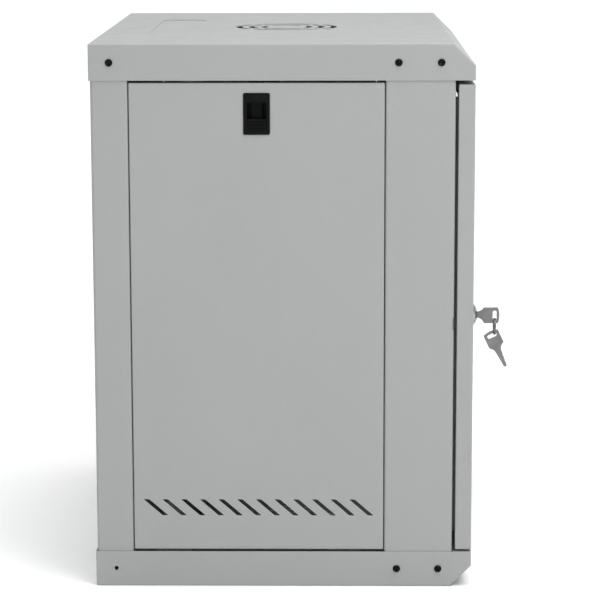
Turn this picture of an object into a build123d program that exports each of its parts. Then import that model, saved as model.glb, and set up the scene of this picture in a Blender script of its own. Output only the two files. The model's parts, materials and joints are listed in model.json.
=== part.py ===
from build123d import *
import os

# Wall cabinet for 19-inch equipment, twelve units high, with a hinged glass door,
# lift-off side panels and rack rails that slide fore and aft.
# Millimetres. Origin at the middle of the underside, +Z up, the door faces -Y.

os.makedirs("parts", exist_ok=True)

# ---- Driving dimensions ----

width = 600.0
depth = 443.0
height = 640.0

sheet = 1.2  # covers, door, side panels and back
post_sheet = 1.5
rail_sheet = 2.0
bend = 1.5  # inside radius of a folded edge
slip = 0.3  # gap between faces that slide past each other
pin_gap = 0.05  # radial clearance of a pin in its hole

# Covers
flange = 42.0
nose = 25.0
lip = 21.5
vent_rings = (63.5, 48.0, 32.8)
vent_slit = 7.4
vent_spoke = 8.0
fan_pitch = 105.0
fan_hole = 2.25
entry_length = 288.0
entry_width = 57.0
entry_corner = 20.0
entry_y = 136.0
knock_depth = 0.7  # how far the roof's knock-out plate is pressed in
knock_end = 44.0  # length of the cut along each end of a knock-out
cut_line = 1.2
cut_tab = 4.0
tab_shift = -13.0

# Frame
frame_side = 298.6
frame_end = 4.0  # clear space above and below a post
rear_post_front = 176.7
frame_back = 219.0
rear_post_reach = 260.0
front_post_front = -198.9
front_post_back = -118.7
front_post_reach = 272.0
post_return = 15.0
cam_relief = (308.0, 323.0)  # lower and upper end of the post's notch for the lock cam
cam_relief_reach = 292.0
cam_relief_deep = 1.7
stop_edge = -204.2  # front edge of the lip behind the closed door, on the lock side
stop_low = 61.0
stop_high = 577.0

# Cover screws and their nuts
screw_drop = 21.5
rear_screw = 197.5
front_screws = (-133.5, -182.3)
screw_hole = 3.5
head_radius = 4.35
head_height = 2.5
recess_length = 5.2
recess_width = 1.2
recess_depth = 1.4
m5_radius = 2.5
shank_length = 14.0
nut_body = 3.45
nut_collar = 4.75
nut_length = 12.0

# Depth rails, one along each upper and lower side of the frame
depth_rail_side = 283.6
depth_rail_reach = 245.0
depth_rail_height = 36.0

# Rack rails
unit = 44.45
units = 12
hole_pitch = 465.12
square = 9.5
hole_steps = (6.35, 22.225, 38.1)
rail_inner = 225.0
rail_outer = 247.0
rail_deep = 30.0
tab_outer = 282.0
tab_wide = 24.0
front_rail_face = -165.0
rear_rail_face = 120.0
rail_travel = 70.0
bolt_x = 270.0
m6_radius = 3.0
m6_hole = 3.3
m6_hex = 5.77
m6_head = 4.0
m6_nut = 5.0
bolt_length = 12.0
slot_width = 7.0

# Side panels
panel_rear = 175.7
panel_front = -117.7
panel_bottom = 44.5
panel_top = 595.4
panel_return = 12.0
slat_count = 12
slat_pitch = 22.0
slat_low = 85.6
slat_high = 105.1
slat_run = 22.3
slat_wide = 6.8
slat_corner = 0.5
foot_tab_side = 290.4
foot_tab_wide = 40.0
foot_tab_drop = 8.0
foot_tab_pitch = 200.0

# Side panel latch
latch_z = 559.8
bezel_wide = 30.7
bezel_high = 48.0
bezel_proud = 1.4
latch_body_wide = 26.0
latch_body_high = 43.0
latch_body_deep = 12.0
pocket_wide = 22.6
pocket_low = 540.0
pocket_high = 573.0
pocket_deep = 12.0
thumb_top = 553.8
bolt_top = 597.2
bolt_wide = 12.0
bolt_thick = 3.0
latch_spring_radius = 2.0
latch_spring_bore = 1.4

# Back panel
back_half = 290.0
back_margin = 3.0
wall_pitch_x = 400.0
wall_pitch_z = 460.0
wall_hole = 4.5
back_screw_x = 275.0
back_screw_levels = (60.0, 190.0, 320.0, 450.0, 580.0)
back_entry_levels = (95.0, 545.0)
earth_x = -190.0
earth_z = 62.0

# Door
door_half = 298.5
door_bottom = 44.4
door_top = 593.3
door_front = -221.5
door_back = -202.4
door_lip = 14.0
window_half = 235.0
window_low = 80.0
window_high = 558.0
glass_overlap = 8.0
gasket_thick = 1.5
glass_thick = 4.0
strip_wide = 24.0
strip_thick = 2.0
strip_lap = 5.0
stud_radius = 2.0
stud_levels = (110.0, 215.0, 423.0, 528.0)
stud_columns = (-180.0, -60.0, 60.0, 180.0)

# Door hinge
hinge_x = 290.0
hinge_y = -212.0
hinge_radius = 3.0
bracket_z = 565.0

# Lock
lock_x = -258.0
lock_z = 319.0
bezel_radius = 14.25
bezel_rim = -222.6
bezel_face = -227.5
bezel_flat = 7.4
barrel_radius = 9.0
barrel_end = -198.0
plug_radius = 6.0
cam_front = -193.4
cam_thick = 2.0
cam_long = 32.0
cam_wide = 14.0
cam_square = 7.0

# Keys and ring
key_thick = 2.2
blade_high = 7.2
blade_tip = -208.4
tip_half = 1.9
tip_round = 1.6
blade_groove = 1.5
groove_depth = 0.5
neck_end = -228.6
flare_middle = -232.8
flare_up = 1.4
flare_down = 1.8
shoulder = -236.0
bow_corner = -252.5
bow_end = -254.3
bow_half = 9.3
bow_drop = 0.9
bit_cuts = (0.5, 1.0, 0.7, 0.9)
bit_pitch = 3.4
key_slot_wide = 4.8
key_slot_long = 11.6
key_slot_y = -248.7
spare_lean = 25.5  # lean of the spare key from the vertical, in degrees
ring_radius = 9.2
ring_half = 1.5  # half the width of the ring's two turns side by side
ring_wire = 0.75

# ---- Places worked out from them ----

side = width / 2
front = -depth / 2
back = depth / 2
middle = height / 2
panel_y = (panel_rear + panel_front) / 2
post_bend = bend + post_sheet / 2
screw_level = height - screw_drop
upper_leg = height - flange
rail_bottom = flange + slip
rail_top = upper_leg - slip
rail_bend = bend + rail_sheet / 2
door_middle = (door_bottom + door_top) / 2
door_high = door_top - door_bottom
skin_back = door_front + sheet
glass_front = skin_back + gasket_thick
glass_back = glass_front + glass_thick
strip_back = glass_back + strip_thick
bow_middle = lock_z - bow_drop
ring_seat = ring_half + slip
ring_top = bow_middle - key_slot_long / 2 + ring_seat
ring_z = ring_top - ring_radius
spare_pivot = (lock_x, key_slot_y, ring_z - ring_radius)


def save(builder, node):
    """Label a finished piece and write it to its own file."""
    builder.part.label = node
    export_step(builder.part, f"parts/{node}.step")


def mirrored(source, about=Plane.YZ):
    """The same piece for the other side of a mirror plane."""
    with BuildPart() as copy:
        mirror(source.part, about=about)
    return copy


# ---- Top and bottom covers ----

with BuildPart() as top_cover:
    with BuildSketch(Plane.YZ):
        with BuildLine():
            Polyline(
                (back, upper_leg),
                (back, height),
                (front + nose, height),
                (front, height - nose),
                (front, upper_leg),
                close=True,
            )
        make_face()
    extrude(amount=side, both=True)
    rounded = top_cover.edges().filter_by(lambda e: e.center().Z > upper_leg)
    fillet(rounded, radius=bend)
    offset(amount=-sheet, openings=top_cover.faces().sort_by(Axis.Z)[0])
    # Turned-in front edge that carries the hinge pins
    with BuildSketch(Plane.XY.offset(upper_leg)):
        with Locations((0, front + lip / 2)):
            Rectangle(width - 2 * sheet, lip)
        with Locations((hinge_x, hinge_y)):
            Circle(hinge_radius + pin_gap, mode=Mode.SUBTRACT)
    extrude(amount=sheet)
    # Vent and fan screw holes in the roof
    with BuildSketch(Plane.XY.offset(height)):
        for radius in vent_rings:
            Circle(radius)
            Circle(radius - vent_slit, mode=Mode.SUBTRACT)
        for turn in (45, 135):
            Rectangle(2 * vent_rings[0] + 2, vent_spoke, rotation=turn, mode=Mode.SUBTRACT)
        with GridLocations(fan_pitch, fan_pitch, 2, 2):
            Circle(fan_hole)
    extrude(amount=-2 * sheet, mode=Mode.SUBTRACT)
    # Knock-out plate over the cable entry: pressed in, and cut free at its two ends but for a tab
    with BuildSketch(Plane.XY.offset(height)):
        with Locations((0, entry_y)):
            RectangleRounded(entry_length, entry_width, entry_corner)
    extrude(amount=-knock_depth, mode=Mode.SUBTRACT)
    with BuildSketch(Plane.XY.offset(height - sheet)):
        with Locations((0, entry_y)):
            RectangleRounded(entry_length, entry_width, entry_corner)
    extrude(amount=-knock_depth)
    with BuildSketch(Plane.XY.offset(height)):
        with Locations((0, entry_y)):
            with GridLocations(entry_length - cut_line, 0, 2, 1):
                Rectangle(cut_line, knock_end)
        with Locations((0, entry_y + tab_shift)):
            Rectangle(entry_length + 2, cut_tab, mode=Mode.SUBTRACT)
    extrude(amount=-2 * sheet, mode=Mode.SUBTRACT)
    # Screw holes through the side flanges
    with BuildSketch(Plane.YZ.offset(-side)):
        with Locations(*[(y, screw_level) for y in (rear_screw, *front_screws)]):
            Circle(screw_hole)
    extrude(amount=width, mode=Mode.SUBTRACT)
save(top_cover, "top_cover")

with BuildPart() as bottom_cover:
    mirror(top_cover.part, about=Plane.XY.offset(middle))
    # Its knock-out is taken out, which leaves an open cable entry
    with BuildSketch():
        with Locations((0, entry_y)):
            RectangleRounded(entry_length, entry_width, entry_corner)
    extrude(amount=sheet + knock_depth, mode=Mode.SUBTRACT)
save(bottom_cover, "bottom_cover")

# ---- Frame posts ----

post_line = frame_side - post_sheet / 2
post_return_end = frame_side - post_return

with BuildPart() as rear_post_left:
    with BuildSketch(Plane.XY.offset(frame_end)):
        with BuildLine():
            FilletPolyline(
                (-post_return_end, rear_post_front + post_sheet / 2),
                (-post_line, rear_post_front + post_sheet / 2),
                (-post_line, frame_back - post_sheet / 2),
                (-rear_post_reach, frame_back - post_sheet / 2),
                radius=post_bend,
            )
        trace(line_width=post_sheet)
    extrude(amount=height - 2 * frame_end)
    with BuildSketch(Plane.YZ.offset(-frame_side)):
        with Locations((rear_screw, screw_level), (rear_screw, screw_drop)):
            Circle(screw_hole)
    extrude(amount=2 * post_sheet, mode=Mode.SUBTRACT)
    with BuildSketch(Plane.XZ.offset(-frame_back)):
        with Locations(*[(-back_screw_x, z) for z in back_screw_levels]):
            Circle(m5_radius + pin_gap)
    extrude(amount=2 * post_sheet, mode=Mode.SUBTRACT)
save(rear_post_left, "rear_post_left")

rear_post_right = mirrored(rear_post_left)
save(rear_post_right, "rear_post_right")

with BuildPart() as front_post:
    with BuildSketch(Plane.XY.offset(frame_end)):
        with BuildLine():
            FilletPolyline(
                (-post_return_end, front_post_back - post_sheet / 2),
                (-post_line, front_post_back - post_sheet / 2),
                (-post_line, front_post_front + post_sheet / 2),
                (-front_post_reach, front_post_front + post_sheet / 2),
                radius=post_bend,
            )
        trace(line_width=post_sheet)
    extrude(amount=height - 2 * frame_end)
    with BuildSketch(Plane.YZ.offset(-frame_side)):
        with Locations(*[(y, z) for y in front_screws for z in (screw_level, screw_drop)]):
            Circle(screw_hole)
    extrude(amount=2 * post_sheet, mode=Mode.SUBTRACT)
    # Notch that clears the lock cam at the front corner
    with BuildSketch(Plane.YZ.offset(-frame_side)):
        with Locations((front_post_front + cam_relief_deep / 2, sum(cam_relief) / 2)):
            Rectangle(cam_relief_deep, cam_relief[1] - cam_relief[0])
    extrude(amount=frame_side - cam_relief_reach, mode=Mode.SUBTRACT)

front_post_right = mirrored(front_post)
save(front_post_right, "front_post_right")

with BuildPart() as front_post_left:
    add(front_post.part)
    # Lip at the inner edge of the front flange, which closes the gap behind the door
    with BuildSketch(Plane.XY.offset(stop_low)):
        with Locations((-front_post_reach, (stop_edge + front_post_front + post_sheet) / 2)):
            Rectangle(post_sheet, front_post_front + post_sheet - stop_edge, align=(Align.MAX, Align.CENTER))
    extrude(amount=stop_high - stop_low)
save(front_post_left, "front_post_left")

# ---- Depth rails ----

leg_line = depth_rail_side - post_sheet / 2
leg_level = upper_leg + post_sheet / 2
depth_rail_front = front_post_front + post_sheet
depth_rail_back = frame_back - post_sheet
front_slot_y = front_rail_face + rail_deep / 2 + rail_travel / 2
rear_slot_y = rear_rail_face - rail_deep / 2 - rail_travel / 2

with BuildPart() as depth_rail_upper_left:
    with BuildSketch(Plane.XZ.offset(-depth_rail_back)):
        with BuildLine():
            FilletPolyline(
                (-leg_line, upper_leg + depth_rail_height),
                (-leg_line, leg_level),
                (-depth_rail_reach, leg_level),
                radius=post_bend,
            )
        trace(line_width=post_sheet)
    extrude(amount=depth_rail_back - depth_rail_front)
    with BuildSketch(Plane.XY.offset(upper_leg)):
        with Locations((-bolt_x, front_slot_y), (-bolt_x, rear_slot_y)):
            SlotOverall(rail_travel + slot_width + 2 * slip, slot_width, rotation=90)
    extrude(amount=2 * post_sheet, mode=Mode.SUBTRACT)
save(depth_rail_upper_left, "depth_rail_upper_left")

depth_rail_upper_right = mirrored(depth_rail_upper_left)
save(depth_rail_upper_right, "depth_rail_upper_right")
depth_rail_lower_left = mirrored(depth_rail_upper_left, Plane.XY.offset(middle))
save(depth_rail_lower_left, "depth_rail_lower_left")
depth_rail_lower_right = mirrored(depth_rail_lower_left)
save(depth_rail_lower_right, "depth_rail_lower_right")

# ---- Cover screws and rivet nuts ----


def cover_screws(level, missing=None):
    """Cross-head screws through both side flanges of one cover."""
    with BuildPart() as screws:
        for hand in (-1, 1):
            for y in (rear_screw, *front_screws):
                if (hand, y) == missing:
                    continue
                seat = Plane(origin=(hand * side, y, level), z_dir=(hand, 0, 0))
                with BuildSketch(seat):
                    Circle(head_radius)
                extrude(amount=head_height)
                with BuildSketch(seat):
                    Circle(m5_radius)
                extrude(amount=-shank_length)
        crowns = screws.edges().filter_by(lambda e: abs(e.center().X) > side + head_height / 2)
        fillet(crowns.filter_by(GeomType.CIRCLE), radius=0.6 * head_height)
        for hand in (-1, 1):
            for y in (rear_screw, *front_screws):
                face = Plane(origin=(hand * (side + head_height), y, level), z_dir=(hand, 0, 0))
                with BuildSketch(face):
                    Rectangle(recess_length, recess_width)
                    Rectangle(recess_width, recess_length)
                extrude(amount=-recess_depth, mode=Mode.SUBTRACT)
    return screws


top_cover_screws = cover_screws(screw_level)
save(top_cover_screws, "top_cover_screws")
bottom_cover_screws = cover_screws(screw_drop, missing=(-1, rear_screw))
save(bottom_cover_screws, "bottom_cover_screws")

with BuildPart() as rivet_nuts:
    for hand in (-1, 1):
        for y in (rear_screw, *front_screws):
            for z in (screw_level, screw_drop):
                outer = Plane(origin=(hand * frame_side, y, z), z_dir=(-hand, 0, 0))
                with BuildSketch(outer):
                    Circle(nut_body)
                extrude(amount=nut_length)
                with BuildSketch(outer.offset(post_sheet)):
                    Circle(nut_collar)
                extrude(amount=nut_length / 4)
                with BuildSketch(outer):
                    Circle(m5_radius + pin_gap)
                extrude(amount=nut_length, mode=Mode.SUBTRACT)
save(rivet_nuts, "rivet_nuts")

# ---- Back panel, its screws and the earth stud ----

with BuildPart() as back_panel:
    with BuildSketch(Plane.XZ.offset(-frame_back)):
        with Locations((0, middle)):
            Rectangle(2 * back_half, height - 2 * back_margin)
            with GridLocations(wall_pitch_x, wall_pitch_z, 2, 2):
                Circle(wall_hole, mode=Mode.SUBTRACT)
        for hand in (-1, 1):
            with Locations(*[(hand * back_screw_x, z) for z in back_screw_levels]):
                Circle(m5_radius + pin_gap, mode=Mode.SUBTRACT)
        with Locations((earth_x, earth_z)):
            Circle(m6_radius + pin_gap, mode=Mode.SUBTRACT)
    extrude(amount=-sheet)
    # Cut lines of the upper and lower knock-out cable entries
    with BuildSketch(Plane.XZ.offset(-frame_back)):
        for z in back_entry_levels:
            with Locations((0, z)):
                RectangleRounded(entry_length, entry_width, entry_corner)
                RectangleRounded(
                    entry_length - 2 * cut_line,
                    entry_width - 2 * cut_line,
                    entry_corner - cut_line,
                    mode=Mode.SUBTRACT,
                )
                with GridLocations(entry_length / 3, 0, 2, 1):
                    Rectangle(cut_tab, entry_width + 2, mode=Mode.SUBTRACT)
                Rectangle(entry_length + 2, cut_tab, mode=Mode.SUBTRACT)
    extrude(amount=-sheet, mode=Mode.SUBTRACT)
save(back_panel, "back_panel")

with BuildPart() as back_panel_screws:
    for hand in (-1, 1):
        for z in back_screw_levels:
            seat = Plane(origin=(hand * back_screw_x, frame_back + sheet, z), z_dir=(0, 1, 0))
            with BuildSketch(seat):
                Circle(head_radius)
            extrude(amount=sheet)
            with BuildSketch(seat):
                Circle(m5_radius)
            extrude(amount=-8)
            with BuildSketch(seat.offset(sheet)):
                Rectangle(recess_length, recess_width)
                Rectangle(recess_width, recess_length)
            extrude(amount=-sheet, mode=Mode.SUBTRACT)
save(back_panel_screws, "back_panel_screws")

earth_plane = Plane(origin=(earth_x, frame_back + sheet, earth_z), z_dir=(0, -1, 0))

with BuildPart() as earth_stud:
    with BuildSketch(earth_plane):
        Circle(m6_radius)
    extrude(amount=25)
    with BuildSketch(earth_plane.offset(sheet)):
        Circle(2 * m6_radius)
    extrude(amount=sheet)
    chamfer(earth_stud.edges().sort_by(Axis.Y)[0], length=0.6)
save(earth_stud, "earth_stud")

with BuildPart() as earth_nuts:
    for step in (2 * sheet, 2 * sheet + m6_nut + 2):
        with BuildSketch(earth_plane.offset(step)):
            RegularPolygon(radius=m6_hex, side_count=6)
            Circle(m6_radius + pin_gap, mode=Mode.SUBTRACT)
        extrude(amount=m6_nut)
save(earth_nuts, "earth_nuts")

# ---- Rack rails, their bolts and nuts ----

hole_levels = [
    middle - units * unit / 2 + n * unit + step for n in range(units) for step in hole_steps
]


def rack_rail(hand, face, turn):
    """Drilled upright; face is its y and turn the way its web points."""
    web_line = hand * (rail_outer - rail_sheet / 2)
    face_line = face + turn * rail_sheet / 2
    with BuildPart() as rail:
        with BuildSketch(Plane.XY.offset(rail_bottom)):
            with BuildLine():
                FilletPolyline(
                    (hand * rail_inner, face_line),
                    (web_line, face_line),
                    (web_line, face + turn * rail_deep),
                    radius=rail_bend,
                )
            trace(line_width=rail_sheet)
        extrude(amount=rail_top - rail_bottom)
        for level in (rail_bottom, rail_top - rail_sheet):
            with BuildSketch(Plane.XY.offset(level)):
                with Locations((hand * (rail_outer + tab_outer) / 2, face + turn * rail_deep / 2)):
                    Rectangle(tab_outer - rail_outer + rail_sheet, tab_wide)
                with Locations((hand * bolt_x, face + turn * rail_deep / 2)):
                    Circle(m6_hole, mode=Mode.SUBTRACT)
            extrude(amount=rail_sheet)
        with BuildSketch(Plane.XZ.offset(-face)):
            with Locations(*[(hand * hole_pitch / 2, z) for z in hole_levels]):
                Rectangle(square, square)
        extrude(amount=2 * rail_sheet, both=True, mode=Mode.SUBTRACT)
    return rail


def rail_end_planes(hand, face, turn):
    """Planes on the inner faces of the two end tabs, looking out through the depth rails."""
    x = hand * bolt_x
    y = face + turn * rail_deep / 2
    lower = Plane(origin=(x, y, rail_bottom + rail_sheet), z_dir=(0, 0, -1))
    upper = Plane(origin=(x, y, rail_top - rail_sheet), z_dir=(0, 0, 1))
    return lower, upper


def rail_bolts(hand, face, turn):
    """Hexagon bolts through a rack rail's end tabs and the depth rail slots."""
    with BuildPart() as bolts:
        for seat in rail_end_planes(hand, face, turn):
            with BuildSketch(seat):
                RegularPolygon(radius=m6_hex, side_count=6)
            extrude(amount=-m6_head)
            with BuildSketch(seat):
                Circle(m6_radius)
            extrude(amount=bolt_length)
    return bolts


def rail_nuts(hand, face, turn):
    """Nuts that clamp a rack rail to the depth rails."""
    with BuildPart() as nuts:
        for seat in rail_end_planes(hand, face, turn):
            with BuildSketch(seat.offset(rail_sheet + post_sheet + 2 * slip)):
                RegularPolygon(radius=m6_hex, side_count=6)
                Circle(m6_radius + pin_gap, mode=Mode.SUBTRACT)
            extrude(amount=m6_nut)
    return nuts


for end, face, turn in (("front", front_rail_face, 1), ("rear", rear_rail_face, -1)):
    for name, hand in (("left", -1), ("right", 1)):
        save(rack_rail(hand, face, turn), f"rack_rail_{end}_{name}")
        save(rail_bolts(hand, face, turn), f"rail_bolts_{end}_{name}")
        save(rail_nuts(hand, face, turn), f"rail_nuts_{end}_{name}")

# ---- Side panels: one pattern, turned half round for the other side ----

panel_axis = Axis((0, panel_y, 0), (0, 0, 1))
slat_start = panel_y + ((slat_count - 1) * slat_pitch + slat_run + slat_wide) / 2

with BuildPart() as side_panel_left:
    with BuildSketch(Plane.YZ.offset(-frame_side)):
        with Locations((panel_y, (panel_bottom + panel_top) / 2)):
            RectangleRounded(panel_rear - panel_front, panel_top - panel_bottom, bend)
    extrude(amount=panel_return)
    fillet(side_panel_left.faces().sort_by(Axis.X)[0].edges(), radius=bend - 0.1)
    offset(amount=-sheet, openings=side_panel_left.faces().sort_by(Axis.X)[-1])
    # Feet that hang from the bottom return and drop behind the bottom cover's flange
    with BuildSketch(Plane.YZ.offset(-foot_tab_side)):
        with Locations((panel_y, panel_bottom + (sheet - foot_tab_drop) / 2)):
            with GridLocations(foot_tab_pitch, 0, 2, 1):
                Rectangle(foot_tab_wide, foot_tab_drop + sheet)
    extrude(amount=sheet)
    # Row of slanted air slots
    with BuildSketch(Plane.YZ.offset(-frame_side)) as slats:
        for n in range(slat_count):
            y = slat_start - n * slat_pitch
            with BuildLine():
                Polyline(
                    (y, slat_high),
                    (y - slat_wide, slat_high),
                    (y - slat_wide - slat_run, slat_low),
                    (y - slat_run, slat_low),
                    close=True,
                )
            make_face()
        fillet(slats.vertices(), radius=slat_corner)
    extrude(amount=sheet, mode=Mode.SUBTRACT)
    # Opening for the latch body, and a notch for its bolt in the top return
    with BuildSketch(Plane.YZ.offset(-frame_side)):
        with Locations((panel_y, latch_z)):
            Rectangle(latch_body_wide + 2 * slip, latch_body_high + 2 * slip)
    extrude(amount=sheet, mode=Mode.SUBTRACT)
    with BuildSketch(Plane.XY.offset(panel_top)):
        with Locations((-frame_side + (panel_return + sheet) / 2, panel_y)):
            Rectangle(panel_return - sheet, bolt_wide + 4)
    extrude(amount=-2 * sheet, mode=Mode.SUBTRACT)
save(side_panel_left, "side_panel_left")

with BuildPart() as side_panel_right:
    add(side_panel_left.part.rotate(panel_axis, 180))
save(side_panel_right, "side_panel_right")

# ---- Side panel latches ----

bezel_face_x = -frame_side - bezel_proud
stem_front = -292.5
stem_back = stem_front + bolt_thick
bolt_front = -296.0
bolt_low = panel_top - 9.4
thumb_front = -299.4
spring_x = (thumb_front + stem_front) / 2 + 1
thumb_low = pocket_low + slip
spring_top = thumb_low + 9.7

with BuildPart() as latch_housing_left:
    with BuildSketch(Plane.YZ.offset(-frame_side)):
        with Locations((panel_y, latch_z)):
            RectangleRounded(bezel_wide, bezel_high, 2)
    extrude(amount=-bezel_proud)
    fillet(latch_housing_left.faces().sort_by(Axis.X)[0].edges(), radius=0.6)
    with BuildSketch(Plane.YZ.offset(-frame_side)):
        with Locations((panel_y, latch_z)):
            Rectangle(latch_body_wide, latch_body_high)
    extrude(amount=latch_body_deep)
    with BuildSketch(Plane.YZ.offset(bezel_face_x)):
        with Locations((panel_y, (pocket_low + pocket_high) / 2)):
            RectangleRounded(pocket_wide, pocket_high - pocket_low, 1)
    extrude(amount=pocket_deep, mode=Mode.SUBTRACT)
    with BuildSketch(Plane.XY.offset(pocket_high)):
        with Locations(((stem_front + stem_back) / 2, panel_y)):
            Rectangle(bolt_thick + 2 * slip, bolt_wide + 2 * slip)
    extrude(amount=bezel_high, mode=Mode.SUBTRACT)
save(latch_housing_left, "latch_housing_left")

with BuildPart() as latch_slider_left:
    # Thumb piece with grip grooves, at the bottom of the pocket
    with BuildSketch(Plane.YZ.offset(thumb_front)):
        with Locations((panel_y, (thumb_low + thumb_top) / 2)):
            Rectangle(pocket_wide - 2 * slip, thumb_top - thumb_low)
    extrude(amount=stem_back - thumb_front)
    with BuildSketch(Plane.YZ.offset(thumb_front)):
        with Locations((panel_y, (thumb_low + thumb_top) / 2)):
            with GridLocations(0, 3.6, 1, 3):
                Rectangle(pocket_wide, 1.4)
    extrude(amount=0.9, mode=Mode.SUBTRACT)
    # Stem and bolt
    with BuildSketch(Plane.YZ.offset(stem_front)):
        with Locations((panel_y, (thumb_low + bolt_top) / 2)):
            Rectangle(bolt_wide, bolt_top - thumb_low)
    extrude(amount=bolt_thick)
    with BuildSketch(Plane.YZ.offset(bolt_front)):
        with Locations((panel_y, (bolt_low + bolt_top) / 2)):
            Rectangle(bolt_wide, bolt_top - bolt_low)
    extrude(amount=stem_back - bolt_front)
    tip = latch_slider_left.edges().filter_by(Axis.Y).group_by(Axis.Z)[-1].sort_by(Axis.X)[0]
    chamfer(tip, length=2.5)
    # Socket for the spring
    with BuildSketch(Plane.XY.offset(thumb_low)):
        with Locations((spring_x, panel_y)):
            Circle(latch_spring_radius + slip)
    extrude(amount=spring_top - thumb_low, mode=Mode.SUBTRACT)
save(latch_slider_left, "latch_slider_left")

with BuildPart() as latch_spring_left:
    with BuildSketch(Plane.XY.offset(pocket_low)):
        with Locations((spring_x, panel_y)):
            Circle(latch_spring_radius)
            Circle(latch_spring_bore, mode=Mode.SUBTRACT)
    extrude(amount=spring_top - pocket_low)
save(latch_spring_left, "latch_spring_left")

with BuildPart() as latch_housing_right:
    add(latch_housing_left.part.rotate(panel_axis, 180))
save(latch_housing_right, "latch_housing_right")

with BuildPart() as latch_slider_right:
    add(latch_slider_left.part.rotate(panel_axis, 180))
save(latch_slider_right, "latch_slider_right")

with BuildPart() as latch_spring_right:
    add(latch_spring_left.part.rotate(panel_axis, 180))
save(latch_spring_right, "latch_spring_right")

# ---- Door: frame, gasket, glass and the strips that clamp it ----

window_wide = 2 * window_half
window_mid = (window_low + window_high) / 2
glass_half = window_half + glass_overlap
glass_low = window_low - glass_overlap
glass_high = window_high + glass_overlap
stud_column = glass_half - strip_lap + strip_wide / 2 + strip_lap
lower_stud_level = glass_low - strip_wide / 2
upper_stud_level = glass_high + strip_wide / 2
side_studs = [(hand * stud_column, z) for hand in (-1, 1) for z in stud_levels]
end_studs = [(x, z) for x in stud_columns for z in (lower_stud_level, upper_stud_level)]

with BuildPart() as door_frame:
    with BuildSketch(Plane.XZ.offset(-door_back)):
        with Locations((0, door_middle)):
            RectangleRounded(2 * door_half, door_high, bend)
    extrude(amount=door_back - door_front)
    fillet(door_frame.faces().sort_by(Axis.Y)[0].edges(), radius=bend - 0.1)
    fillet(door_frame.faces().sort_by(Axis.Y)[-1].edges(), radius=bend - 0.1)
    with BuildSketch(Plane.XZ.offset(-door_back + sheet)):
        with Locations((0, door_middle)):
            Rectangle(2 * (door_half - sheet), door_high - 2 * sheet)
    extrude(amount=door_back - door_front - 2 * sheet, mode=Mode.SUBTRACT)
    with BuildSketch(Plane.XZ.offset(-door_back)):
        with Locations((0, door_middle)):
            Rectangle(2 * (door_half - door_lip), door_high - 2 * door_lip)
    extrude(amount=sheet, mode=Mode.SUBTRACT)
    with BuildSketch(Plane.XZ.offset(-skin_back)):
        with Locations((0, window_mid)):
            RectangleRounded(window_wide, window_high - window_low, 3)
        with Locations((lock_x, lock_z)):
            Circle(barrel_radius + 0.2)
    extrude(amount=sheet, mode=Mode.SUBTRACT)
    with BuildSketch(Plane.XY.offset(door_bottom)):
        with Locations((hinge_x, hinge_y)):
            Circle(hinge_radius + pin_gap)
    extrude(amount=door_high, mode=Mode.SUBTRACT)
save(door_frame, "door_frame")

with BuildPart() as glass_gasket:
    with BuildSketch(Plane.XZ.offset(-skin_back)):
        with Locations((0, window_mid)):
            RectangleRounded(2 * glass_half, glass_high - glass_low, 3)
            RectangleRounded(
                window_wide + 2, window_high - window_low + 2, 4, mode=Mode.SUBTRACT
            )
    extrude(amount=-gasket_thick)
save(glass_gasket, "glass_gasket")

with BuildPart() as door_glass:
    with BuildSketch(Plane.XZ.offset(-glass_front)):
        with Locations((0, window_mid)):
            RectangleRounded(2 * glass_half, glass_high - glass_low, 3)
    extrude(amount=-glass_thick)
    chamfer(door_glass.faces().filter_by(Axis.Y).edges(), length=0.4)
save(door_glass, "door_glass")


def side_strip(hand):
    """Clamping strip beside the glass; the one on the lock side clears the lock barrel."""
    inner = glass_half - strip_lap
    with BuildPart() as strip:
        with BuildSketch(Plane.XZ.offset(-glass_back)):
            with Locations((hand * (inner + strip_wide / 2), window_mid)):
                Rectangle(strip_wide, window_high - window_low + 4)
            with Locations(*side_studs):
                Circle(stud_radius + pin_gap, mode=Mode.SUBTRACT)
            with Locations((lock_x, lock_z)):
                Circle(barrel_radius + 1.5, mode=Mode.SUBTRACT)
        extrude(amount=-strip_thick)
    return strip


def end_strip(level, toward):
    """Clamping strip above or below the glass."""
    centre = level + toward * (strip_wide / 2 - strip_lap)
    with BuildPart() as strip:
        with BuildSketch(Plane.XZ.offset(-glass_back)):
            with Locations((0, centre)):
                Rectangle(2 * (glass_half + strip_wide - strip_lap), strip_wide)
            with Locations(*end_studs):
                Circle(stud_radius + pin_gap, mode=Mode.SUBTRACT)
        extrude(amount=-strip_thick)
    return strip


save(side_strip(-1), "glass_strip_left")
save(side_strip(1), "glass_strip_right")
save(end_strip(glass_high, 1), "glass_strip_top")
save(end_strip(glass_low, -1), "glass_strip_bottom")

with BuildPart() as strip_studs:
    with BuildSketch(Plane.XZ.offset(-skin_back)):
        with Locations(*side_studs, *end_studs):
            Circle(stud_radius)
    extrude(amount=-14)
save(strip_studs, "strip_studs")

with BuildPart() as strip_nuts:
    with BuildSketch(Plane.XZ.offset(-strip_back)):
        with Locations(*side_studs, *end_studs):
            RegularPolygon(radius=4, side_count=6)
            Circle(stud_radius + pin_gap, mode=Mode.SUBTRACT)
    extrude(amount=-3.2)
save(strip_nuts, "strip_nuts")

# ---- Door hinge: fixed pin below, sprung pin above ----

bracket_reach = 17.0
bracket_leg = 22.0
collar_radius = 5.0
collar_thick = 2.2
collar_top = door_top - sheet - slip
collar_low = collar_top - collar_thick
knob_radius = 4.5
knob_low = 545.0
knob_high = 555.0

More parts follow.
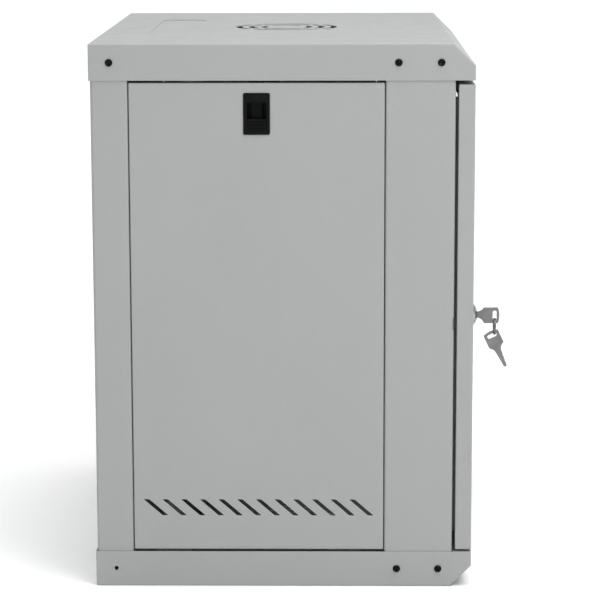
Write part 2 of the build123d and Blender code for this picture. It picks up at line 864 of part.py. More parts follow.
with BuildPart() as hinge_bracket_upper:
    with BuildSketch(Plane.XZ.offset(-door_back + 2.5)):
        with BuildLine():
            FilletPolyline(
                (door_half - sheet - bracket_reach, bracket_z + post_sheet / 2),
                (door_half - sheet - post_sheet / 2, bracket_z + post_sheet / 2),
                (door_half - sheet - post_sheet / 2, bracket_z - bracket_leg),
                radius=post_bend,
            )
        trace(line_width=post_sheet)
    extrude(amount=15)
    with BuildSketch(Plane.XY.offset(bracket_z)):
        with Locations((hinge_x, hinge_y)):
            Circle(hinge_radius + pin_gap)
    extrude(amount=post_sheet, mode=Mode.SUBTRACT)
save(hinge_bracket_upper, "hinge_bracket_upper")

with BuildPart() as hinge_pin_upper:
    with BuildSketch(Plane.XY.offset(knob_low)):
        with Locations((hinge_x, hinge_y)):
            Circle(knob_radius)
    extrude(amount=knob_high - knob_low)
    fillet(hinge_pin_upper.edges().filter_by(GeomType.CIRCLE), radius=1.2)
    with BuildSketch(Plane.XY.offset(knob_low)):
        with Locations((hinge_x, hinge_y)):
            Circle(hinge_radius)
    extrude(amount=upper_leg + 6 - knob_low)
    chamfer(hinge_pin_upper.edges().sort_by(Axis.Z)[-1], length=1)
    with BuildSketch(Plane.XY.offset(collar_low)):
        with Locations((hinge_x, hinge_y)):
            Circle(collar_radius)
    extrude(amount=collar_thick)
save(hinge_pin_upper, "hinge_pin_upper")

with BuildPart() as hinge_spring:
    with BuildSketch(Plane.XY.offset(bracket_z + post_sheet)):
        with Locations((hinge_x, hinge_y)):
            Circle(collar_radius - 0.4)
            Circle(hinge_radius + 0.5, mode=Mode.SUBTRACT)
    extrude(amount=collar_low - bracket_z - post_sheet)
save(hinge_spring, "hinge_spring")

with BuildPart() as hinge_pin_lower:
    with BuildSketch(Plane.XY.offset(flange - sheet - 2)):
        with Locations((hinge_x, hinge_y)):
            Circle(collar_radius)
    extrude(amount=2)
    with BuildSketch(Plane.XY.offset(flange - sheet)):
        with Locations((hinge_x, hinge_y)):
            Circle(hinge_radius)
    extrude(amount=15)
    chamfer(hinge_pin_lower.edges().sort_by(Axis.Z)[-1], length=1)
save(hinge_pin_lower, "hinge_pin_lower")

with BuildPart() as hinge_washer:
    with BuildSketch(Plane.XY.offset(flange)):
        with Locations((hinge_x, hinge_y)):
            Circle(7)
            Circle(hinge_radius + pin_gap, mode=Mode.SUBTRACT)
    extrude(amount=door_bottom - flange - slip)
save(hinge_washer, "hinge_washer")

# ---- Lock ----

lock_axis = Axis((lock_x, 0, lock_z), (0, 1, 0))

with BuildPart() as lock_housing:
    # Domed bezel
    with BuildSketch(Plane.YZ.offset(lock_x)):
        with BuildLine():
            Polyline(
                (bezel_face, lock_z + bezel_flat),
                (bezel_face, lock_z),
                (door_front, lock_z),
                (door_front, lock_z + bezel_radius),
                (bezel_rim, lock_z + bezel_radius),
            )
            RadiusArc(
                (bezel_rim, lock_z + bezel_radius),
                (bezel_face, lock_z + bezel_flat),
                -1.1 * bezel_radius,
            )
        make_face()
    revolve(axis=lock_axis)
    with BuildSketch(Plane.XZ.offset(-barrel_end)):
        with Locations((lock_x, lock_z)):
            Circle(barrel_radius)
    extrude(amount=barrel_end - door_front)
    with BuildSketch(Plane.XZ.offset(-barrel_end)):
        with Locations((lock_x, lock_z)):
            Circle(plug_radius + pin_gap)
    extrude(amount=barrel_end - bezel_face, mode=Mode.SUBTRACT)
save(lock_housing, "lock_housing")

with BuildPart() as lock_nut:
    with BuildSketch(Plane.XZ.offset(-skin_back)):
        with Locations((lock_x, lock_z)):
            RegularPolygon(radius=12.6, side_count=6)
            Circle(barrel_radius + pin_gap, mode=Mode.SUBTRACT)
    extrude(amount=-4)
save(lock_nut, "lock_nut")

with BuildPart() as lock_plug:
    with BuildSketch(Plane.XZ.offset(-cam_front)):
        with Locations((lock_x, lock_z)):
            Circle(plug_radius)
    extrude(amount=cam_front - bezel_face - 0.5)
    with BuildSketch(Plane.XZ.offset(-cam_front)):
        with Locations((lock_x, lock_z)):
            Rectangle(cam_square, cam_square)
    extrude(amount=-cam_thick)
    # Keyway in front, screw hole behind
    with BuildSketch(Plane.XZ.offset(-bezel_face)):
        with Locations((lock_x, lock_z)):
            Rectangle(key_thick + 2 * slip, blade_high + 2 * slip)
    extrude(amount=bezel_face - blade_tip - slip, mode=Mode.SUBTRACT)
    with BuildSketch(Plane.XZ.offset(-cam_front - cam_thick)):
        with Locations((lock_x, lock_z)):
            Circle(stud_radius + pin_gap)
    extrude(amount=7, mode=Mode.SUBTRACT)
save(lock_plug, "lock_plug")

with BuildPart() as lock_cam:
    with BuildSketch(Plane.XZ.offset(-cam_front - cam_thick)):
        with Locations((lock_x, lock_z + cam_wide / 2 - (cam_long + cam_wide / 2) / 2)):
            SlotOverall(cam_long + cam_wide / 2, cam_wide, rotation=90)
        with Locations((lock_x, lock_z)):
            Rectangle(cam_square + 0.1, cam_square + 0.1, mode=Mode.SUBTRACT)
    extrude(amount=cam_thick)
save(lock_cam, "lock_cam")

with BuildPart() as cam_screw:
    with BuildSketch(Plane.XZ.offset(-cam_front - cam_thick)):
        with Locations((lock_x, lock_z)):
            Circle(5)
    extrude(amount=-2.4)
    fillet(cam_screw.edges().sort_by(Axis.Y)[-1], radius=1.2)
    with BuildSketch(Plane.XZ.offset(-cam_front - cam_thick)):
        with Locations((lock_x, lock_z)):
            Circle(stud_radius)
    extrude(amount=6.5)
    with BuildSketch(Plane.XZ.offset(-cam_front - cam_thick - 2.4)):
        with Locations((lock_x, lock_z)):
            Rectangle(recess_length, recess_width)
            Rectangle(recess_width, recess_length)
    extrude(amount=1.2, mode=Mode.SUBTRACT)
save(cam_screw, "cam_screw")

# ---- Keys on their ring ----

key_plane = Plane.YZ.offset(lock_x - key_thick / 2)
blade_half = blade_high / 2
blade_taper = (blade_half - tip_half) / (blade_tip - neck_end)

with BuildPart() as key:
    with BuildSketch(key_plane):
        with BuildLine():
            upper_flare = ThreePointArc(
                (neck_end, lock_z + blade_half),
                (flare_middle, lock_z + blade_half + flare_up),
                (shoulder, bow_middle + bow_half),
            )
            lower_flare = ThreePointArc(
                (neck_end, lock_z - blade_half),
                (flare_middle, lock_z - blade_half - flare_down),
                (shoulder, bow_middle - bow_half),
            )
            Line(upper_flare @ 1, (bow_corner, bow_middle + bow_half))
            Line(lower_flare @ 1, (bow_corner, bow_middle - bow_half))
            ThreePointArc(
                (bow_corner, bow_middle + bow_half),
                (bow_end, bow_middle),
                (bow_corner, bow_middle - bow_half),
            )
            Line(upper_flare @ 0, lower_flare @ 0)
        make_face()
        with Locations((key_slot_y, bow_middle)):
            SlotOverall(key_slot_long, key_slot_wide, rotation=90, mode=Mode.SUBTRACT)
    extrude(amount=key_thick)
    corners = key.edges().filter_by(Axis.X)
    fillet(corners.filter_by(lambda e: e.center().Y < shoulder + 1), radius=1.2)
    # Tapered blade with its bitting and a groove along both sides
    with BuildSketch(key_plane):
        with BuildLine():
            Polyline(
                (neck_end, lock_z - blade_half),
                (neck_end, lock_z + blade_half),
                (blade_tip - tip_round, lock_z + tip_half),
                (blade_tip, lock_z + tip_half / 2),
                (blade_tip, lock_z - tip_half / 2),
                (blade_tip - tip_round, lock_z - tip_half),
                close=True,
            )
        make_face()
        for n, cut in enumerate(bit_cuts):
            run = bit_pitch * (n + 1)
            with Locations((blade_tip - run, lock_z - tip_half - blade_taper * run)):
                RegularPolygon(radius=cut, side_count=4, mode=Mode.SUBTRACT)
    extrude(amount=key_thick)
    for hand in (-1, 1):
        with BuildSketch(Plane.YZ.offset(lock_x + hand * key_thick / 2)):
            with Locations((blade_tip, lock_z)):
                Rectangle(2 * (blade_tip - neck_end), blade_groove)
        extrude(amount=-hand * groove_depth, mode=Mode.SUBTRACT)
save(key, "key")

with BuildPart() as key_ring:
    with BuildSketch(Plane.YZ.offset(lock_x)):
        with Locations((key_slot_y, ring_top)):
            SlotOverall(2 * ring_half, 2 * ring_wire)
    revolve(axis=Axis((lock_x, key_slot_y, ring_z), (0, 1, 0)), revolution_arc=360)
save(key_ring, "key_ring")

# The spare key is the same key, hung from the end of its slot
hung_at = Vector(
    lock_x,
    key_slot_y - (key_slot_wide / 2 - ring_seat),
    bow_middle - (key_slot_long - key_slot_wide) / 2,
)

with BuildPart() as spare_key:
    with Locations(Vector(*spare_pivot) - hung_at):
        add(key.part.rotate(Axis(hung_at, (1, 0, 0)), -90 - spare_lean))
save(spare_key, "spare_key")
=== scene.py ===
"""Looks for the wall cabinet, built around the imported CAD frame. Metres, Z up, door towards -Y."""
import json
import math
import random

import bmesh
import bpy
from mathutils import Matrix, Vector


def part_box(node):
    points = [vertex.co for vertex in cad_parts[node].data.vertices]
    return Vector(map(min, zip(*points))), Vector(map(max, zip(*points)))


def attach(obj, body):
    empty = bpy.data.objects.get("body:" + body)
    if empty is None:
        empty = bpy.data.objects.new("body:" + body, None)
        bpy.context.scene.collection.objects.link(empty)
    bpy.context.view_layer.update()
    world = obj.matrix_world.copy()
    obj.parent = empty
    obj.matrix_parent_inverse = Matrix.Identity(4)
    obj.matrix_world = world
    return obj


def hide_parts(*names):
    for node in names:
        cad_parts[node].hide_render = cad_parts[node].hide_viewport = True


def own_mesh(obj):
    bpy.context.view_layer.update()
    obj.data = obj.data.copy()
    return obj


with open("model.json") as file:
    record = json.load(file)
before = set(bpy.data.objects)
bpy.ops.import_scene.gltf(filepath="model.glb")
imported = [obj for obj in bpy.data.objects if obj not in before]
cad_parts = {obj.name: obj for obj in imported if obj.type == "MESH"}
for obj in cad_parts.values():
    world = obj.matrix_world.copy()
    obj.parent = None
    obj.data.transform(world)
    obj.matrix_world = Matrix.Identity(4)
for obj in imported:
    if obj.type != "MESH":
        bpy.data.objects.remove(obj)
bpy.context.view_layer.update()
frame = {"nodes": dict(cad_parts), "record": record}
nodes = frame["nodes"]
MM = 0.001
TURN = 2 * math.pi
random.seed(7)

# ---------------------------------------------------------------- camera

CAMERA_AT = Vector((-3.0761, -0.0599, 0.8369))
CAMERA_PITCH = math.radians(10.072)
CAMERA_YAW = math.radians(0.817)
CAMERA_ROLL = math.radians(-0.122)
CAMERA_LENS = 145.95
CAMERA_SENSOR = 36
CAMERA_NEAR = 0.05
CAMERA_FAR = 200

forward = Vector(
    (
        math.cos(CAMERA_PITCH) * math.cos(CAMERA_YAW),
        math.cos(CAMERA_PITCH) * math.sin(CAMERA_YAW),
        -math.sin(CAMERA_PITCH),
    )
)
level = Vector((math.sin(CAMERA_YAW), -math.cos(CAMERA_YAW), 0))
upright = level.cross(forward)
camera_x = level * math.cos(CAMERA_ROLL) + upright * math.sin(CAMERA_ROLL)
camera_y = upright * math.cos(CAMERA_ROLL) - level * math.sin(CAMERA_ROLL)
camera = bpy.data.objects.new("camera", bpy.data.cameras.new("camera"))
camera.data.lens = CAMERA_LENS
camera.data.sensor_width = CAMERA_SENSOR
camera.data.clip_start = CAMERA_NEAR
camera.data.clip_end = CAMERA_FAR
camera.matrix_world = Matrix.Translation(CAMERA_AT) @ Matrix(
    (camera_x, camera_y, -forward)
).transposed().to_4x4()
bpy.context.scene.collection.objects.link(camera)
bpy.context.scene.camera = camera

# ---------------------------------------------------------------- materials


class Surface:
    """One procedural material: a Principled shader and the nodes that feed it."""

    def __init__(self, name, **fixed):
        self.material = bpy.data.materials.new(name)
        self.material.use_nodes = True
        tree = self.material.node_tree
        self.nodes, self.links = tree.nodes, tree.links
        self.nodes.clear()
        self.output = self.nodes.new("ShaderNodeOutputMaterial")
        self.shader = self.nodes.new("ShaderNodeBsdfPrincipled")
        self.links.new(self.shader.outputs[0], self.output.inputs["Surface"])
        self.place = self.nodes.new("ShaderNodeTexCoord").outputs["Object"]
        for socket, value in fixed.items():
            self.shader.inputs[socket.replace("_", " ")].default_value = value

    def feed(self, socket, source):
        self.links.new(source, self.shader.inputs[socket])

    def stretched(self, along):
        """Coordinates scaled by along, for grain that runs one way."""
        node = self.nodes.new("ShaderNodeMapping")
        self.links.new(self.place, node.inputs["Vector"])
        node.inputs["Scale"].default_value = along
        return node.outputs[0]

    def noise(self, scale, detail=3.0, roughness=0.5, place=None, distortion=0.0):
        node = self.nodes.new("ShaderNodeTexNoise")
        self.links.new(place or self.place, node.inputs["Vector"])
        node.inputs["Scale"].default_value = scale
        node.inputs["Detail"].default_value = detail
        node.inputs["Roughness"].default_value = roughness
        node.inputs["Distortion"].default_value = distortion
        return node.outputs[0]

    def cells(self, scale):
        node = self.nodes.new("ShaderNodeTexVoronoi")
        self.links.new(self.place, node.inputs["Vector"])
        node.inputs["Scale"].default_value = scale
        return node.outputs["Distance"]

    def spread(self, value, low, high, start=0.3, end=0.7):
        """A 0 to 1 value spread between low and high."""
        node = self.nodes.new("ShaderNodeMapRange")
        self.links.new(value, node.inputs["Value"])
        node.inputs["From Min"].default_value = start
        node.inputs["From Max"].default_value = end
        node.inputs["To Min"].default_value = low
        node.inputs["To Max"].default_value = high
        return node.outputs[0]

    def product(self, a, b):
        node = self.nodes.new("ShaderNodeMath")
        node.operation = "MULTIPLY"
        self.links.new(a, node.inputs[0])
        self.links.new(b, node.inputs[1])
        return node.outputs[0]

    def blend(self, share, a, b):
        """Colour a where share is 0 and b where it is 1."""
        node = self.nodes.new("ShaderNodeMix")
        node.data_type = "RGBA"
        self.links.new(share, node.inputs["Factor"])
        for socket, colour in ((node.inputs[6], a), (node.inputs[7], b)):
            if isinstance(colour, tuple):
                socket.default_value = (*colour, 1)
            else:
                self.links.new(colour, socket)
        return node.outputs[2]

    def edges(self, radius):
        """1 along outside edges and 0 elsewhere."""
        bevel = self.nodes.new("ShaderNodeBevel")
        bevel.samples = 4
        bevel.inputs["Radius"].default_value = radius
        geometry = self.nodes.new("ShaderNodeNewGeometry")
        dot = self.nodes.new("ShaderNodeVectorMath")
        dot.operation = "DOT_PRODUCT"
        self.links.new(bevel.outputs[0], dot.inputs[0])
        self.links.new(geometry.outputs["True Normal"], dot.inputs[1])
        return self.spread(dot.outputs["Value"], 1, 0, 0.78, 0.98)

    def bump(self, height, strength, distance, under=None):
        node = self.nodes.new("ShaderNodeBump")
        self.links.new(height, node.inputs["Height"])
        node.inputs["Strength"].default_value = strength
        node.inputs["Distance"].default_value = distance
        if under is not None:
            self.links.new(under, node.inputs["Normal"])
        return node.outputs[0]


def powder_coat(name, colour, edge_wear_and_highlight, rough, peel):
    """Baked powder paint: faint orange peel, slight cloudiness, edges paler from wear and from a
    painted edge highlight.
    """
    s = Surface(name, IOR=1.5)
    clouds = s.noise(5, 3, 0.55)
    speck = s.noise(900, 1, 0.5)
    shade = s.blend(s.spread(clouds, 0, 1), colour, tuple(c * 0.965 for c in colour))
    pale = tuple(min(1, c * 1.1) for c in colour)
    shade = s.blend(s.spread(speck, 0, 0.5, 0.45, 0.8), shade, pale)
    # Paler edges: partly worn paint, partly a painted highlight along the bends and slot rims.
    edge_wear_and_highlight_mask = s.product(s.edges(0.9 * MM), s.spread(s.noise(70, 4, 0.6), 0.35, 1))
    s.feed("Base Color", s.blend(edge_wear_and_highlight_mask, shade, edge_wear_and_highlight))
    s.feed("Roughness", s.spread(s.noise(38, 4, 0.6), rough - 0.04, rough + 0.05))
    fine = s.bump(s.noise(1300, 2, 0.55), 0.30 * peel, 0.06 * MM)
    s.feed("Normal", s.bump(s.noise(330, 2, 0.5), 0.35 * peel, 0.12 * MM, fine))
    return s.material


def plated(name, colour, patch, rough, grain, scratch):
    """Plated metal: cloudy tone, fine wiped scratches, edges paler from wear and from a painted edge
    highlight.
    """
    s = Surface(name, Metallic=1.0)
    tone = s.blend(s.spread(s.noise(85, 4, 0.6), 0, 1), colour, patch)
    # Paler edges: partly wear, partly a painted highlight on the rims.
    edge_wear_and_highlight_tone = tuple(min(1, c * 1.25) for c in colour)
    edge_wear_and_highlight_mask = s.product(s.edges(0.4 * MM), s.spread(s.noise(240), 0.3, 0.9))
    s.feed("Base Color", s.blend(edge_wear_and_highlight_mask, tone, edge_wear_and_highlight_tone))
    lines = s.noise(900, 3, 0.65, s.stretched(grain))
    s.feed("Roughness", s.spread(lines, rough - 0.07, rough + 0.10))
    s.feed("Normal", s.bump(lines, scratch, 0.03 * MM))
    return s.material


def moulded(name, colour, pale, rough, grain_size, depth, gloss):
    """Moulded plastic with an eroded grain, and edges paler from polishing wear and from a painted
    edge highlight.
    """
    s = Surface(name, IOR=1.48, Specular_IOR_Level=gloss)
    tone = s.blend(s.spread(s.noise(60, 4, 0.6), 0, 0.6), colour, pale)
    # Paler edges: partly polishing wear, partly a painted highlight on the rims.
    edge_wear_and_highlight_mask = s.product(s.edges(0.5 * MM), s.spread(s.noise(300), 0.2, 0.8))
    s.feed("Base Color", s.blend(edge_wear_and_highlight_mask, tone, pale))
    s.feed("Roughness", s.spread(s.noise(150, 3, 0.6), rough - 0.05, rough + 0.07))
    coarse = s.bump(s.cells(1 / grain_size), 0.5, depth)
    s.feed("Normal", s.bump(s.noise(1.6 / grain_size, 2), 0.4, depth, coarse))
    return s.material


def pane(name, tint):
    """Tinted safety glass: lamps reach through it, with a faint film of smears."""
    s = Surface(name, IOR=1.52, Transmission_Weight=1.0)
    smears = s.noise(14, 5, 0.62, s.stretched((1, 1, 0.35)), 1.2)
    s.feed("Roughness", s.spread(smears, 0.0, 0.035, 0.45, 0.8))
    deeper = tuple(c * 0.985 for c in tint)
    s.feed("Base Color", s.blend(s.spread(s.noise(9, 2), 0, 1), tint, deeper))
    open_way = s.nodes.new("ShaderNodeBsdfTransparent")
    open_way.inputs["Color"].default_value = (*[math.sqrt(c) for c in tint], 1)
    ray = s.nodes.new("ShaderNodeLightPath")
    either = s.nodes.new("ShaderNodeMixShader")
    s.links.new(ray.outputs["Is Shadow Ray"], either.inputs[0])
    s.links.new(s.shader.outputs[0], either.inputs[1])
    s.links.new(open_way.outputs[0], either.inputs[2])
    s.links.new(either.outputs[0], s.output.inputs["Surface"])
    return s.material


PAINT = (0.3255, 0.333, 0.329)
# Paler grey for the edges: worn paint plus a painted edge highlight.
PAINT_WEAR_AND_HIGHLIGHT = (0.43, 0.44, 0.436)
materials = {
    "painted_steel": powder_coat("light_grey_powder_coat", PAINT, PAINT_WEAR_AND_HIGHLIGHT, 0.46, 0.6),
    "rail_steel": plated(
        "galvanised_sheet", (0.36, 0.37, 0.375), (0.29, 0.30, 0.305), 0.42, (1, 1, 0.2), 0.25
    ),
    "zinc_plated_steel": plated(
        "zinc_plate", (0.50, 0.52, 0.54), (0.42, 0.44, 0.47), 0.33, (1, 1, 1), 0.15
    ),
    "blackened_steel": plated(
        "black_zinc", (0.015, 0.0155, 0.0165), (0.009, 0.0095, 0.0105), 0.26, (1, 1, 1), 0.3
    ),
    "spring_steel": plated(
        "drawn_wire", (0.42, 0.42, 0.43), (0.34, 0.34, 0.36), 0.30, (1, 1, 0.1), 0.2
    ),
    "black_plastic": moulded(
        "black_grained_plastic", (0.0022, 0.0024, 0.0024), (0.007, 0.0074, 0.0074),
        0.52, 0.7 * MM, 0.05 * MM, 0.09
    ),
    "lock_chrome": plated(
        "satin_chrome", (0.46, 0.465, 0.47), (0.40, 0.41, 0.42), 0.17, (1, 1, 1), 0.10
    ),
    "plug_brass": plated(
        "nickelled_brass", (0.42, 0.41, 0.38), (0.36, 0.345, 0.31), 0.24, (1, 0.1, 1), 0.2
    ),
    "key_nickel": plated(
        "nickel_silver", (0.222, 0.227, 0.223), (0.174, 0.177, 0.172), 0.34, (1, 0.08, 1), 0.5
    ),
    "door_glass": pane("grey_tempered_glass", (0.17, 0.18, 0.18)),
    "black_rubber": moulded(
        "foam_rubber", (0.010, 0.010, 0.010), (0.022, 0.022, 0.022),
        0.80, 0.5 * MM, 0.12 * MM, 0.2
    ),
}
slot_of = {p["node"]: p["material_slot"] for p in frame["record"]["subparts"]}


def finish_with(piece, slot):
    """Give a piece one material, by its slot in the record."""
    piece.data.materials.clear()
    piece.data.materials.append(materials[slot])


for name, node in nodes.items():
    finish_with(node, slot_of[name])

# ---------------------------------------------------------------- mesh tools

SHARP_ANGLE = math.radians(38)
MERGE_REACH = 1e-7


def add_mesh(name, body, slot, build, replaced):
    """A new piece from a function that fills a bmesh; it rides on body and stands for a node."""
    mesh = bpy.data.meshes.new(name)
    bm = bmesh.new()
    build(bm)
    bmesh.ops.recalc_face_normals(bm, faces=bm.faces)
    bm.to_mesh(mesh)
    bm.free()
    mesh.polygons.foreach_set("use_smooth", [True] * len(mesh.polygons))
    mesh.set_sharp_from_angle(angle=SHARP_ANGLE)
    piece = bpy.data.objects.new(name, mesh)
    bpy.context.scene.collection.objects.link(piece)
    finish_with(piece, slot)
    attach(piece, body)
    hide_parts(replaced)
    return piece


def grid_faces(bm, rows, capped=True):
    """Quads between rows of points, each row a closed ring; the end rings are capped or not."""
    loops = [[bm.verts.new(p) for p in row] for row in rows]
    for a, b in zip(loops, loops[1:]):
        count = len(a)
        for i in range(count):
            j = (i + 1) % count
            bm.faces.new((a[i], a[j], b[j], b[i]))
    if capped:
        bm.faces.new(loops[0])
        bm.faces.new(list(reversed(loops[-1])))


def frame_at(origin, axis, lean=0.0):
    """A matrix that puts local +Z along axis at origin, turned by lean about it."""
    turn = Vector(axis).to_track_quat("Z", "Y").to_matrix().to_4x4()
    return Matrix.Translation(Vector(origin)) @ turn @ Matrix.Rotation(lean, 4, "Z")


def thread(bm, place, radius, pitch, start, end, segments=20):
    """Threaded rod along local Z from start to end."""
    depth = 0.55 * pitch
    steps = max(4, int(abs(end - start) / pitch * 5))
    rows = []
    for k in range(steps + 1):
        z = start + (end - start) * k / steps
        taper = min(1.0, 2.0 * min(k, steps - k) / 5 + 0.15)
        row = []
        for i in range(segments):
            phase = (z / pitch - i / segments) % 1.0
            r = radius - depth * abs(2 * phase - 1) * taper - depth * (1 - taper) * 0.6
            angle = TURN * i / segments
            row.append(place @ Vector((r * math.cos(angle), r * math.sin(angle), z)))
        rows.append(row)
    grid_faces(bm, rows)


def cross_recess(x, y, length, width, depth):
    """Depth of a Phillips recess at a point of the head."""
    across, along = min(abs(x), abs(y)), max(abs(x), abs(y))
    wall = 0.22 * width
    inside = min(1.0, max(0.0, (width / 2 + wall - across) / wall))
    reach = min(1.0, max(0.0, (length / 2 - along) / (0.3 * length)))
    hub = math.exp(-((x * x + y * y) / (0.75 * width) ** 2))
    return depth * (0.72 * inside * reach ** 0.6 + 0.28 * hub * (1 if inside else 0.3))


def pan_head(bm, place, radius, height, recess, segments=64, rings=16):
    """Pan head of a cross-recess screw; local Z points out of the head from its seat."""
    seat = radius * 0.94
    seat_angles = [TURN * i / segments for i in range(segments)]
    rows = [[place @ Vector((seat * math.cos(a), seat * math.sin(a), 0)) for a in seat_angles]]
    for k in range(rings):
        t = k / (rings - 1)
        r = radius * (1 - t) + 0.0004 * radius
        if k == 0:
            r = radius
        dome = height * (1 - 0.62 * (r / radius) ** 5.0 - 0.10 * (r / radius) ** 2)
        row = []
        for i in range(segments):
            angle = TURN * i / segments
            x, y = r * math.cos(angle), r * math.sin(angle)
            row.append(place @ Vector((x, y, dome - cross_recess(x, y, *recess))))
        rows.append(row)
    grid_faces(bm, rows)


def hex_body(bm, place, corner, low, high, bore=0.0, chamfer_high=True):
    """Hexagon with turned chamfers, as a bolt head or a nut, between two levels of local Z."""
    segments = 72
    flat = corner * math.cos(math.pi / 6)
    washer = flat * 0.96
    slope = math.tan(math.radians(28))
    rows = []

    def ring(r_of, z_of):
        row = []
        for i in range(segments):
            angle = TURN * i / segments
            sector = (angle + math.pi / 6) % (math.pi / 3) - math.pi / 6
            reach = flat / math.cos(sector)
            r = r_of(reach)
            row.append(place @ Vector((r * math.cos(angle), r * math.sin(angle), z_of(reach))))
        return row

    def drop(reach):
        return max(0.0, reach - washer) * slope

    if bore:
        rows.append(ring(lambda reach: bore, lambda reach: low))
    rows.append(ring(lambda reach: washer, lambda reach: low))
    rows.append(ring(lambda reach: reach, lambda reach: low + drop(reach)))
    if chamfer_high:
        rows.append(ring(lambda reach: reach, lambda reach: high - drop(reach)))
        rows.append(ring(lambda reach: washer, lambda reach: high))
    else:
        rows.append(ring(lambda reach: reach, lambda reach: high))
        rows.append(ring(lambda reach: reach * 0.999, lambda reach: high))
    if bore:
        rows.append(ring(lambda reach: bore * 1.12, lambda reach: high))
        rows.append(ring(lambda reach: bore, lambda reach: high - bore * 0.12))
        rows.append(rows[0])
        grid_faces(bm, rows, capped=False)
        bmesh.ops.remove_doubles(bm, verts=bm.verts, dist=MERGE_REACH)
    else:
        grid_faces(bm, rows)


def turned(bm, place, profile, segments=48, knurl=None):
    """A shape turned round local Z from (radius, height) points.

    knurl is (low, high, depth, count).
    """
    rows = []
    for r, z in profile:
        row = []
        for i in range(segments):
            angle = TURN * i / segments
            reach = r
            if knurl and knurl[0] <= z <= knurl[1]:
                reach -= knurl[2] * (0.5 - 0.5 * math.cos(knurl[3] * angle))
            row.append(place @ Vector((reach * math.cos(angle), reach * math.sin(angle), z)))
        rows.append(row)
    grid_faces(bm, rows, capped=False)
    bmesh.ops.remove_doubles(bm, verts=bm.verts, dist=MERGE_REACH)


def tube_along(bm, path, radius, segments=10):
    """Round wire that follows a list of points, with domed ends."""
    count = len(path)
    rows = []
    side = None
    for k, point in enumerate(path):
        ahead = path[min(k + 1, count - 1)] - path[max(k - 1, 0)]
        ahead.normalize()
        if side is None:
            side = ahead.orthogonal().normalized()
        side = (side - ahead * side.dot(ahead)).normalized()
        other = ahead.cross(side)
        ring = []
        for i in range(segments):
            angle = TURN * i / segments
            out = side * (radius * math.cos(angle)) + other * (radius * math.sin(angle))
            ring.append(point + out)
        if k == 0:
            rows.append([point - ahead * radius * 0.55 + (p - point) * 0.6 for p in ring])
        rows.append(ring)
        if k == count - 1:
            rows.append([point + ahead * radius * 0.55 + (p - point) * 0.6 for p in ring])
    grid_faces(bm, rows)


def coil_path(centre, low, high, radius, wire, turns):
    """A compression spring's line about Z: open coils between closed end turns."""
    points = []
    per_turn = 28
    end_turns = 1.1
    ends = end_turns * wire * 2.05
    middle = (high - low - 2 * wire) - 2 * ends
    for k in range(turns * per_turn + 1):
        turn = k / per_turn
        if turn < end_turns:
            z = turn / end_turns * ends
        elif turn > turns - end_turns:
            z = ends + middle + (turn - turns + end_turns) / end_turns * ends
        else:
            z = ends + middle * (turn - end_turns) / (turns - 2 * end_turns)
        angle = TURN * turn
        x = centre[0] + radius * math.cos(angle)
        y = centre[1] + radius * math.sin(angle)
        points.append(Vector((x, y, low + wire + z)))
    return points


def middle_of(node):
    """The middle of a node's box."""
    low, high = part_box(node)
    return (low + high) / 2


# ---------------------------------------------------------------- screws, bolts and nuts

SIDE = 300.0 * MM
SCREW_Y = (197.5 * MM, -133.5 * MM, -182.3 * MM)
HEAD_RADIUS = 4.35 * MM
HEAD_HEIGHT = 2.5 * MM
SHEET = 1.2 * MM
BACK_SCREW_LEVELS = [z * MM for z in (60, 190, 320, 450, 580)]
COVER_RECESS = (5.4 * MM, 1.15 * MM, 1.9 * MM)  # length, width and depth of the cross
BACK_RECESS = (5.0 * MM, 1.1 * MM, 0.9 * MM)
CAM_RECESS = (5.4 * MM, 1.15 * MM, 1.4 * MM)
COVER_SCREW_LENGTH = 14.0 * MM
BACK_SCREW_LENGTH = 7.9 * MM
M4_RADIUS, M4_PITCH, M4_BORE = 1.98 * MM, 0.7 * MM, 2.05 * MM
M5_RADIUS, M5_PITCH = 2.48 * MM, 0.8 * MM
M6_RADIUS, M6_PITCH, M6_BORE = 2.98 * MM, 1.0 * MM, 3.05 * MM
M6_CORNER = 5.76 * MM
M6_HEAD = 4.0 * MM
M6_NUT = 5.0 * MM
RAIL_BOLT_LENGTH = 12.0 * MM
STUD_LEVELS = [z * MM for z in (110, 215, 423, 528)]
STUD_COLUMNS = [x * MM for x in (-180, -60, 60, 180)]
STUD_NUT_CORNER = 4.0 * MM
STUD_NUT_EDGE = 3.464 * MM
STUD_NUT_LEAN = math.pi / 6
EARTH_NUT_LEAN = 0.0
LOCK_NUT_LEAN = math.pi / 6
CAM_HEAD_RADIUS = 4.98 * MM
CAM_HEAD_HEIGHT = 2.4 * MM
CAM_SCREW_LEAN = 0.5
LOCK_NUT_CORNER = 12.6 * MM
LOCK_NUT_BORE = 9.05 * MM
COLLAR_LOW = 589.6 * MM
SPRING_TURNS = 9
HINGE_WIRE = 0.48 * MM
LATCH_WIRE = 0.26 * MM
RING_STEPS = 90
RING_START = math.radians(200)


def cover_screw_set(level, missing):
    """Every screw of one cover in one mesh, each turned by its own angle."""

    def build(bm):
        for hand in (-1, 1):
            for y in SCREW_Y:
                if (hand, y) == missing:
                    continue
                lean = random.uniform(0, math.pi / 2)
                place = frame_at((hand * SIDE, y, level), (hand, 0, 0), lean)
                pan_head(bm, place, HEAD_RADIUS, HEAD_HEIGHT, COVER_RECESS)
                thread(bm, place, M5_RADIUS, M5_PITCH, -COVER_SCREW_LENGTH, 0)

    return build


top_screws = cover_screw_set(middle_of("top_cover_screws").z, None)
add_mesh("top_cover_pan_screws", "cabinet", "blackened_steel", top_screws, "top_cover_screws")
low_screws = cover_screw_set(middle_of("bottom_cover_screws").z, (-1, SCREW_Y[0]))
add_mesh("bottom_cover_pan_screws", "cabinet", "blackened_steel", low_screws, "bottom_cover_screws")


